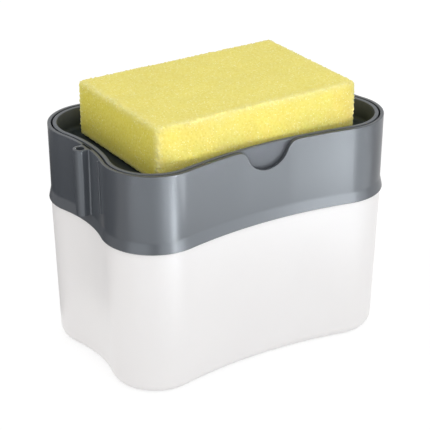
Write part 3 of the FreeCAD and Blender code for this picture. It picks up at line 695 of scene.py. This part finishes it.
class CADDY_OT_collar(bpy.types.Operator):
    """Build the grey collar: flared skirt, notched rim, plug, deck with threaded neck, socket barrel"""

    bl_idname = "caddy.collar"
    bl_label = "Collar"

    def execute(self, context):
        sizes = context.scene.caddy_sizes
        plan = Outline(sizes)
        rim = high("collar").z
        foot = high("tank").z
        band = foot + sizes.skirt_band
        plug = low("collar").z
        deck = plug + sizes.deck
        ledge = foot + sizes.ledge
        plug_inset = self.plug_inset(sizes, plug)
        basin = plug_inset + sizes.plug_wall
        lean = sizes.collar_draft * (rim - ledge) / (rim - band)
        bm = bmesh.new()
        stations = [
            (plug_inset + FLAT_STRIP, plug),
            (plug_inset, plug),
            (plug_inset, foot),
            (-sizes.skirt_flare, foot),
            (sizes.collar_draft, band),
            (0.0, rim),
            (sizes.collar_wall, rim),
            (sizes.collar_wall + lean, ledge),
            (basin, ledge),
            (basin, deck),
            (basin + FLAT_STRIP, deck),
        ]
        rings = plan.shell(bm, stations)
        cut_notches(sizes, rings[5])
        cut_notches(sizes, rings[6])
        neck = turned_shell(bm, [
            (sizes.neck_radius, deck),
            (sizes.neck_radius, sizes.neck_top),
            (sizes.neck_bore, sizes.neck_top),
            (sizes.neck_bore, plug),
        ])
        fill_between(bm, rings[-1], neck[0])
        fill_between(bm, rings[0], neck[-1])
        face_out(bm)
        round_edges(bm, rings[5] + rings[6], sizes.rim_rounding)
        round_edges(bm, rings[1] + rings[3], sizes.rim_rounding)
        round_edges(bm, rings[4], 2 * sizes.rim_rounding, 3)
        round_edges(bm, rings[8] + rings[9], sizes.rim_rounding, 3)
        round_edges(bm, neck[1] + neck[2], sizes.rim_rounding, 3)
        self.add_thread(bm, sizes, deck)
        self.add_barrel(bm, sizes, plan, band, rim)
        self.add_upright(bm, sizes, plan, band, rim)
        collar = finish_piece("collar_frame", bm, grey_plastic(context.scene.caddy_colours))
        place(collar, "collar", "grey_plastic", "collar")
        return {"FINISHED"}

    @staticmethod
    def plug_inset(sizes, plug):
        """Inset of the plug's outside, clear of the tank's leaning wall at the plug's foot."""
        lean = sizes.tank_foot_inset - sizes.tank_top_inset
        share = 1.0 - plug / high("tank").z
        return sizes.tank_top_inset + lean * share + sizes.tank_wall + sizes.plug_gap

    @staticmethod
    def add_thread(bm, sizes, deck):
        """Wind a low ridge round the neck."""
        pitch = 4.2 * MM
        turns = 1.4
        start = deck + 2.2 * MM
        corners = ((-0.3, -0.9), (0.22, -0.25), (0.22, 0.25), (-0.3, 0.9))
        points = [
            bm.verts.new((sizes.neck_radius + out * MM, 0.0, start + rise * MM)) for out, rise in corners
        ]
        face = bm.faces.new(points)
        steps = round(turns * TURNED_STEPS)
        spun(bm, [*points, *face.edges, face], ORIGIN, math.tau * turns, steps, pitch * turns / steps)

    @staticmethod
    def add_barrel(bm, sizes, plan, band, rim):
        """Add the socket barrel on the end: round nose, hollow blends into the wall, blind hole."""
        radius = sizes.barrel_radius
        blend = sizes.barrel_blend
        nose = low("collar").x + radius
        overlap = 0.2 * MM
        root_depth = 1.2 * MM
        bore_depth = 28.0 * MM
        chamfer = 0.25 * MM
        wall = -plan.end_waist + overlap
        root = wall + root_depth
        before = set(bm.edges)
        inside = bm.verts.new((root, radius + blend, band))
        start = bm.verts.new((wall, radius + blend, band))
        bm.edges.new((inside, start))
        flank = spun(bm, [start], (wall - blend, radius + blend, band), -math.pi / 2, 6)[0]
        shoulder = bm.verts.new((nose, radius, band))
        bm.edges.new((flank, shoulder))
        spun(bm, [shoulder], (nose, 0.0, band), math.pi / 2, 14)
        foot = mirrored(bm, [edge for edge in bm.edges if edge not in before], "Y")
        ends = [vert for edge in foot for vert in edge.verts if len(vert.link_edges) == 1]
        foot.append(bm.edges.new(ends))
        foot_verts = verts_of(foot)
        raised = bmesh.ops.extrude_edge_only(bm, edges=foot)["geom"]
        tops = [item for item in raised if isinstance(item, bmesh.types.BMVert)]
        bmesh.ops.translate(bm, verts=tops, vec=(0.0, 0.0, rim - band))
        for vert in foot_verts:
            share = (wall - vert.co.x) / (wall - nose + radius)
            vert.co.x += sizes.barrel_draft * max(0.0, share)
        edges = [item for item in raised if isinstance(item, bmesh.types.BMEdge)]
        top = [edge for edge in edges if set(edge.verts) <= set(tops)]
        cap(bm, foot)
        cap(bm, top)
        face_out(bm)
        round_edges(bm, top, sizes.rim_rounding, 3)
        lid = max((face for face in bm.faces if face.normal.z > 0.99), key=lambda face: len(face.verts))
        edge_of_lid = list(lid.edges)
        bmesh.ops.delete(bm, geom=[lid], context="FACES_ONLY")
        bore = turned_shell(bm, [
            (sizes.barrel_bore + chamfer, rim),
            (sizes.barrel_bore, rim - chamfer),
            (sizes.barrel_bore, rim - bore_depth),
        ], 40, (nose, 0.0, 0.0))
        cap(bm, bore[2])
        fill_between(bm, edge_of_lid, bore[0])
        face_out(bm)

    @staticmethod
    def add_upright(bm, sizes, plan, band, rim):
        """Raise the low upright ridge on the wall beside the barrel, leaning with the wall."""
        wall = plan.reach_at(sizes.upright_offset)
        foot = band + sizes.upright_rise
        top = rim - 2 * sizes.rim_rounding
        before = set(bm.verts)
        depth = 2 * MM
        centre = (depth / 2 - wall - sizes.upright_height, -sizes.upright_offset, (foot + top) / 2)
        add_bar(bm, centre, (depth, sizes.upright_width, top - foot), sizes.upright_width / 3)
        slope = sizes.collar_draft / (rim - band)
        for vert in set(bm.verts) - before:
            vert.co.x += slope * (rim - vert.co.z)


class CADDY_OT_tray(bpy.types.Operator):
    """Build the sponge tray: skirted dish with rest ribs, stiffeners and a seat for the pump head"""

    bl_idname = "caddy.tray"
    bl_label = "Sponge tray"

    def execute(self, context):
        sizes = context.scene.caddy_sizes
        plan = Outline(sizes)
        rim = high("sponge_tray").z
        foot = low("sponge_tray").z
        dish = rim - sizes.tray_depth
        under = dish - sizes.tray_floor
        outer = sizes.collar_wall + sizes.tray_gap
        inner = outer + sizes.tray_wall
        seat_depth = 3.0 * MM
        hole = 6.3 * MM
        seat = 10.3 * MM
        locating = 11.8 * MM
        bm = bmesh.new()
        # Layer that marks the dish for its painted shade
        depth = bm.verts.layers.float.new(DISH_SHADE)
        stations = [
            (inner + FLAT_STRIP, under),
            (inner, under),
            (inner, foot),
            (outer, foot),
            (outer, rim),
            (inner, rim),
            (inner + sizes.tray_draft, dish),
            (inner + sizes.tray_draft + FLAT_STRIP, dish),
        ]
        rings = plan.shell(bm, stations)
        seats = turned_shell(bm, [
            (hole, dish),
            (hole, under),
            (seat, under),
            (seat, under - seat_depth),
            (locating, under - seat_depth),
            (locating, under),
        ])
        fill_between(bm, rings[-1], seats[0])
        fill_between(bm, rings[0], seats[-1])
        face_out(bm)
        # Mark the foot of the dish's wall, its floor and the hole's edge for the painted shade
        for vert in verts_of(rings[6] + rings[7] + seats[0]):
            vert[depth] = 1.0
        round_edges(bm, rings[6], 2.0 * MM, 5)
        round_edges(bm, rings[4] + rings[5], sizes.rim_rounding)
        round_edges(bm, rings[2] + rings[3], sizes.rim_rounding, 2)
        round_edges(bm, seats[3] + seats[4], 0.3 * MM, 2)
        moulded = set(bm.verts)
        self.add_ribs(bm, sizes, plan, dish, inner)
        # The ribs in the dish take the painted shade too
        for vert in set(bm.verts) - moulded:
            vert[depth] = 1.0
        self.add_stiffeners(bm, plan, under, outer, locating, seat_depth)
        tray = finish_piece("tray_dish", bm, tray_plastic(context.scene.caddy_colours))
        place(tray, "tray", "grey_plastic", "sponge_tray")
        return {"FINISHED"}

    @staticmethod
    def add_ribs(bm, sizes, plan, dish, inner):
        """Lay the ribs that carry the sponge on the dish."""
        sunk = 0.4 * MM
        height = sizes.rest_rib_height + sunk
        half_length = plan.end_waist - inner - 14.0 * MM
        for row in (-3, -2, -1, 1, 2, 3):
            centre = (0.0, row * sizes.rest_rib_pitch, dish - sunk + height / 2)
            add_bar(bm, centre, (2 * half_length, sizes.rest_rib_width, height), 0.35 * MM)

    @staticmethod
    def add_stiffeners(bm, plan, under, outer, locating, depth):
        """Stiffen the underside with four bars that run from the locating ring to the skirt."""
        width = 1.6 * MM
        sunk = 0.4 * MM
        start = locating - 0.5 * MM
        level = under + sunk - (depth + sunk) / 2
        for reach, along in ((plan.end_waist, 0), (plan.side_waist, 1)):
            stop = reach - outer - 0.8 * MM
            for side in (-1, 1):
                centre = [0.0, 0.0, level]
                size = [width, width, depth + sunk]
                centre[along] = side * (start + stop) / 2
                size[along] = stop - start
                add_bar(bm, centre, size, 0.3 * MM)


class CADDY_OT_sponge(bpy.types.Operator):
    """Build the foam sponge: a cut block with open cells, torn along its edges"""

    bl_idname = "caddy.sponge"
    bl_label = "Sponge"

    def execute(self, context):
        sizes = context.scene.caddy_sizes
        centre = (low("sponge") + high("sponge")) / 2
        size = high("sponge") - low("sponge")
        bm = bmesh.new()
        bmesh.ops.create_cube(bm, size=1.0, matrix=Matrix.Diagonal((*size, 1.0)))
        for axis in range(3):
            along = [edge for edge in bm.edges if self.runs_along(edge, axis)]
            cuts = round(size[axis] / sizes.sponge_grid) - 1
            bmesh.ops.subdivide_edges(bm, edges=along, cuts=cuts, use_grid_fill=True)
        self.shape_foam(bm, sizes, size / 2)
        bmesh.ops.translate(bm, verts=bm.verts, vec=centre)
        foam = foam_material(context.scene.caddy_colours, sizes)
        sponge = finish_piece("foam_sponge", bm, foam, math.pi, weighted=False)
        place(sponge, "sponge", "sponge_foam", "sponge")
        return {"FINISHED"}

    @staticmethod
    def runs_along(edge, axis):
        """Whether an edge of the block runs along an axis."""
        step = edge.verts[1].co - edge.verts[0].co
        return abs(step[axis]) > 0.9 * step.length

    @staticmethod
    def shape_foam(bm, sizes, half):
        """Round the block's edges, sink the open cells, raise the struts and mark the torn borders for
        their painted highlight.
        """
        torn = bm.verts.layers.float.new(EDGE_HIGHLIGHT)
        radius = sizes.sponge_rounding
        core = half - Vector((radius, radius, radius))
        pit_reach = 0.6
        strut_reach = 0.35
        grain_size = 0.4 * sizes.pore_size
        wave_size = 16.0 * MM
        wave_height = 0.15 * MM
        wave_shift = Vector((3.1, 7.7, 1.3))
        tear_size = 1.1 * MM
        tear_shift = Vector((5.2, 0.4, 9.1))
        calm_foot = 0.4
        for vert in bm.verts:
            inside = Vector(max(-reach, min(reach, value)) for value, reach in zip(vert.co, core))
            out = (vert.co - inside).normalized()
            point = inside + out * radius
            gaps = sorted(reach - abs(value) for value, reach in zip(vert.co, half))
            border = max(0.0, 1.0 - gaps[1] / sizes.frayed_edge)
            near, next_near = noise.voronoi(point / sizes.pore_size)[0][:2]
            pit = max(0.0, 1.0 - near / pit_reach)
            strut = max(0.0, 1.0 - (next_near - near) / strut_reach)
            grain = noise.noise(point / grain_size)
            wave = noise.noise(point / wave_size + wave_shift)
            fray = sizes.strut_height * (0.3 + 0.7 * border)
            if vert.co.z < sizes.frayed_edge - half.z:
                fray *= calm_foot
            rise = fray * (0.6 * strut + 0.9 * grain) - sizes.pore_depth * pit * pit + wave_height * wave
            rise += border * fray * noise.noise(point / tear_size + tear_shift)
            if out.z < -0.9:
                rise = -abs(rise) / 2
            vert.co = point + out * rise
            # Painted highlight: how much of the pale border colour this point takes
            vert[torn] = border * border * (0.5 + 0.4 * grain)


class CADDY_OT_pump(bpy.types.Operator):
    """Build the pump: housing, gasket, guide, nut, tube, stem, head and return spring"""

    bl_idname = "caddy.pump"
    bl_label = "Pump"

    def execute(self, context):
        colours = context.scene.caddy_colours
        plastic = pump_finish("white_moulding", colours.pump_plastic, 0.35)
        head = pump_finish("dark_moulding", colours.head_plastic, 0.3)
        rubber = pump_finish("black_rubber", colours.gasket_rubber, 0.7)
        clear = {"Transmission Weight": 0.5, "IOR": 1.45}
        tube = pump_finish("clear_tube", colours.tube_plastic, 0.3, clear)
        steel = pump_finish("bright_steel", colours.steel, 0.2, {"Metallic": 1.0})
        piston = pump_finish("blue_seal", colours.piston_plastic, 0.4)
        self.turned("housing_cylinder", "pump", "pump_plastic", "pump_housing", plastic, 0.3, [
            (6.8, 73.9), (12.0, 73.9), (12.0, 72.4), (8.2, 72.4), (8.2, 25.0), (4.45, 25.0),
            (4.45, 16.0), (3.05, 16.0), (3.05, 25.0), (1.7, 25.0), (1.7, 26.2), (2.9, 28.0), (6.8, 28.0),
        ])
        self.turned("neck_seal", "pump", "gasket_rubber", "neck_gasket", rubber, 0.3, [
            (8.25, 71.2), (12.0, 71.2), (12.0, 72.4), (8.25, 72.4),
        ])
        self.turned("guide_plug", "pump", "pump_plastic", "stem_guide", plastic, 0.35, [
            (4.1, 65.5), (6.75, 65.5), (6.75, 73.9), (8.6, 73.9), (8.6, 76.0), (10.0, 76.0),
            (10.0, 77.5), (4.1, 77.5),
        ])
        self.turned("suction_tube", "pump", "tube_plastic", "dip_tube", tube, 0.2, [
            (2.1, 5.2), (3.0, 5.2), (3.0, 25.0), (2.1, 25.0),
        ])
        self.turned("plunger_stem", "plunger", "pump_plastic", "pump_stem", plastic, 0.2, [
            (2.8, 56.2), (4.0, 56.2), (4.0, 64.0), (5.0, 64.0), (5.0, 65.2), (4.0, 65.2),
            (4.0, 96.1), (2.0, 96.1), (2.0, 64.8), (2.8, 64.8),
        ])
        self.turned("press_head", "plunger", "head_plastic", "pump_head", head, 0.35, [
            (1.6, 99.7), (6.0, 99.7), (6.0, 97.6), (10.0, 97.6), (10.0, 96.1), (6.25, 96.1),
            (6.25, 91.1), (4.05, 91.1), (4.05, 96.1), (1.6, 96.1),
        ])
        self.make_nut(pump_finish("pale_moulding", colours.nut_plastic, 0.35))
        self.make_spring(steel)
        for node, material in (
            ("ball_cage", plastic),
            ("valve_seat", plastic),
            ("piston", piston),
            ("inlet_ball", steel),
            ("outlet_ball", steel),
        ):
            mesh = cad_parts[node].data
            mesh.materials.clear()
            mesh.materials.append(material)
        return {"FINISHED"}

    @staticmethod
    def turned(name, body, slot, node, material, rounding, profile):
        """Make one turned piece of the pump."""
        piece = finish_piece(name, turned_mesh(profile, rounding), material)
        place(piece, body, slot, node)

    @staticmethod
    def make_nut(material):
        """Turn the closure nut and raise the grip ribs on its outside."""
        ribs = 24
        rib_radius = 0.7 * MM
        edge = 0.3 * MM
        outer = high("closure_nut").x - rib_radius
        foot = low("closure_nut").z
        top = high("closure_nut").z
        profile = [(8.9, 75.7), (15.0, 75.7), (15.0, 63.2), (12.3, 63.2), (12.3, 73.9), (8.9, 73.9)]
        bm = turned_mesh(profile, 0.5, 14 * ribs)
        spacing = math.tau / ribs
        for vert in bm.verts:
            reach = math.hypot(vert.co.x, vert.co.y)
            if reach < outer - 0.05 * MM or not foot + edge < vert.co.z < top - edge:
                continue
            turn = math.atan2(vert.co.y, vert.co.x)
            aside = outer * (turn - spacing * round(turn / spacing))
            raised = math.sqrt(max(0.0, rib_radius**2 - aside**2))
            vert.co.x *= (reach + raised) / reach
            vert.co.y *= (reach + raised) / reach
        nut = finish_piece("ribbed_nut", bm, material)
        place(nut, "closure_nut", "nut_plastic", "closure_nut")

    @staticmethod
    def make_spring(material):
        """Wind the return spring."""
        wire = 0.5 * MM
        turns = 7
        steps = 36 * turns
        foot = low("return_spring").z
        top = high("return_spring").z
        radius = high("return_spring").x - wire
        bm = bmesh.new()
        matrix = Matrix.Translation((radius, 0.0, foot + wire)) @ Matrix.Rotation(math.pi / 2, 4, "X")
        wire_steps = 14
        circle = bmesh.ops.create_circle(bm, cap_ends=True, segments=wire_steps, radius=wire, matrix=matrix)
        rise = (top - foot - 2 * wire) / steps
        spun(bm, [*circle["verts"], *bm.edges, *bm.faces], ORIGIN, math.tau * turns, steps, rise)
        spring = finish_piece("coil_spring", bm, material, weighted=False)
        place(spring, "pump", "spring_steel", "return_spring")
        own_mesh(spring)


class CADDY_OT_stage(bpy.types.Operator):
    """Set the floor, the lamps, the even surround and the camera at the photograph's angle"""

    bl_idname = "caddy.stage"
    bl_label = "Stage"

    def execute(self, context):
        scene = context.scene
        stage = scene.caddy_stage
        scene.view_settings.view_transform = "Standard"
        self.make_floor(scene)
        self.make_surround(scene, stage.surround)
        key = self.make_lamp("key_lamp", KEY_PLACE, KEY_AIM, KEY_SIZE, stage.key_power)
        key.data.color = COOL
        front = (0.0, low("sponge").y, high("collar").z + BEAM_RISE)
        beam = self.make_lamp("sponge_lamp", BEAM_PLACE, front, BEAM_SIZE, stage.beam_power)
        beam.data.spread = BEAM_SPREAD
        level = high("tank").z
        for name, place, size, share in HORIZON:
            power = share * stage.horizon_power
            self.gloss_only(self.make_lamp(name, (*place, level), (0.0, 0.0, level), size, power))
        for row, (name, place, azimuth, size, share) in enumerate(GLEAMS, FIRST_GLEAM_LEVEL):
            self.make_gleam(name, (*place, row * MM), azimuth, size, share * stage.gleam_power)
        self.make_flag()
        self.make_camera(scene, stage)
        return {"FINISHED"}

    def make_floor(self, scene):
        """Lay a pale floor that keeps the object's shadow and shows white behind it."""
        bm = bmesh.new()
        bmesh.ops.create_grid(bm, x_segments=4, y_segments=4, size=FLOOR_REACH)
        material, tree, shader = new_material("studio_floor")
        base = (*scene.caddy_colours.floor, 1.0)
        fill_sockets(tree, shader, {"Base Color": base, "Roughness": 1.0, "Specular IOR Level": 0.0})
        shown = add_node(tree, "BsdfDiffuse", values={"Color": FLOOR_SHOWN})
        glow = add_node(tree, "Emission", values={"Strength": FLOOR_GLOW})
        both = add_node(tree, "AddShader", values={0: shown.outputs[0], 1: glow.outputs[0]})
        self.show(tree, shader, both, "Material Output")
        floor = finish_piece("studio_floor", bm, material, weighted=False)

    @staticmethod
    def show(tree, plain, shown, output):
        """Show one shader to the camera, also in gloss and through clear pieces, and else a plain one."""
        path = add_node(tree, "LightPath")
        seen = path.outputs["Is Camera Ray"]
        for ray in ("Is Glossy Ray", "Is Transmission Ray"):
            seen = calculated(tree, "MAXIMUM", seen, path.outputs[ray])
        shaders = {0: seen, 1: plain.outputs[0], 2: shown.outputs[0]}
        switch = add_node(tree, "MixShader", values=shaders)
        fill_sockets(tree, tree.nodes[output], {"Surface": switch.outputs[0]})

    def make_surround(self, scene, strength):
        """Light the stage evenly from all sides, white where the camera sees it."""
        world = bpy.data.worlds.new("studio_surround")
        world.use_nodes = True
        tree = world.node_tree
        even = tree.nodes["Background"]
        fill_sockets(tree, even, {"Color": WARM, "Strength": strength})
        white = add_node(tree, "Background", values={"Color": WHITE, "Strength": 1.0})
        self.show(tree, even, white, "World Output")
        scene.world = world

    @staticmethod
    def make_lamp(name, location, target, size, power):
        """Add a soft rectangular lamp that faces a point."""
        lamp = bpy.data.lights.new(name, "AREA")
        lamp.shape = "RECTANGLE"
        lamp.size, lamp.size_y = size
        lamp.energy = power
        holder = bpy.data.objects.new(name, lamp)
        facing = Vector(target) - Vector(location)
        holder.rotation_euler = facing.to_track_quat("-Z", "Y").to_euler()
        holder.location = location
        holder.visible_camera = False
        bpy.context.scene.collection.objects.link(holder)
        return holder

    def make_gleam(self, name, place, azimuth, size, power):
        """Lay a lamp on the floor, turned to an azimuth, that shows only as a gleam on glossy walls."""
        gleam = self.make_lamp(name, place, ORIGIN, size, power)
        gleam.rotation_euler = (math.pi, 0.0, math.radians(azimuth))
        self.gloss_only(gleam)

    @staticmethod
    def gloss_only(lamp):
        """Let a lamp show in gloss alone, a little cool."""
        lamp.visible_diffuse = False
        lamp.data.color = COOL

    @staticmethod
    def make_flag():
        """Lay a dark card behind the far end, for gloss alone, so that the collar's end stays deep."""
        bm = bmesh.new()
        place = Matrix.Translation(FLAG_PLACE) @ Matrix.Diagonal(FLAG_REACH)
        bmesh.ops.create_grid(bm, x_segments=1, y_segments=1, size=1.0, matrix=place)
        material, tree, shader = new_material("dark_card")
        fill_sockets(tree, shader, {"Base Color": FLAG_TONE, "Specular IOR Level": 0.0})
        card = finish_piece("dark_flag", bm, material, weighted=False)
        for ray in ("camera", "diffuse", "shadow", "transmission"):
            setattr(card, "visible_" + ray, False)

    @staticmethod
    def make_camera(scene, stage):
        """Place the camera where the photograph was taken from."""
        lens = bpy.data.cameras.new("photo_camera")
        lens.lens = stage.lens
        lens.clip_start = 0.01
        camera = bpy.data.objects.new("photo_camera", lens)
        azimuth, elevation = stage.azimuth, stage.elevation
        back = Vector((
            math.sin(azimuth) * math.cos(elevation),
            -math.cos(azimuth) * math.cos(elevation),
            math.sin(elevation),
        ))
        right = Vector((math.cos(azimuth), math.sin(azimuth), 0.0))
        up = back.cross(right)
        aim = right * stage.aim_right + up * stage.aim_up
        axes = Matrix((right, up, back)).transposed()
        camera.matrix_world = Matrix.Translation(aim + back * stage.distance) @ axes.to_4x4()
        scene.collection.objects.link(camera)
        scene.camera = camera


class CADDY_PT_sidebar(bpy.types.Panel):
    """Lists the pieces of the caddy"""

    bl_idname = "CADDY_PT_sidebar"
    bl_label = "Soap Pump Caddy"
    bl_space_type = "VIEW_3D"
    bl_region_type = "UI"
    bl_category = "Caddy"

    def draw(self, context):
        for operator in OPERATORS:
            self.layout.operator(operator.bl_idname)


OPERATORS = (
    CADDY_OT_tank,
    CADDY_OT_collar,
    CADDY_OT_tray,
    CADDY_OT_sponge,
    CADDY_OT_pump,
    CADDY_OT_stage,
)
CLASSES = (CaddySizes, CaddyColours, CaddyStage, *OPERATORS, CADDY_PT_sidebar)


def register():
    for cls in CLASSES:
        bpy.utils.register_class(cls)
    bpy.types.Scene.caddy_sizes = PointerProperty(type=CaddySizes)
    bpy.types.Scene.caddy_colours = PointerProperty(type=CaddyColours)
    bpy.types.Scene.caddy_stage = PointerProperty(type=CaddyStage)


def unregister():
    del bpy.types.Scene.caddy_stage
    del bpy.types.Scene.caddy_colours
    del bpy.types.Scene.caddy_sizes
    for cls in reversed(CLASSES):
        bpy.utils.unregister_class(cls)


def main():
    register()
    bpy.ops.caddy.tank()
    bpy.ops.caddy.collar()
    bpy.ops.caddy.tray()
    bpy.ops.caddy.sponge()
    bpy.ops.caddy.pump()
    bpy.ops.caddy.stage()


if __name__ == "__main__":
    main()
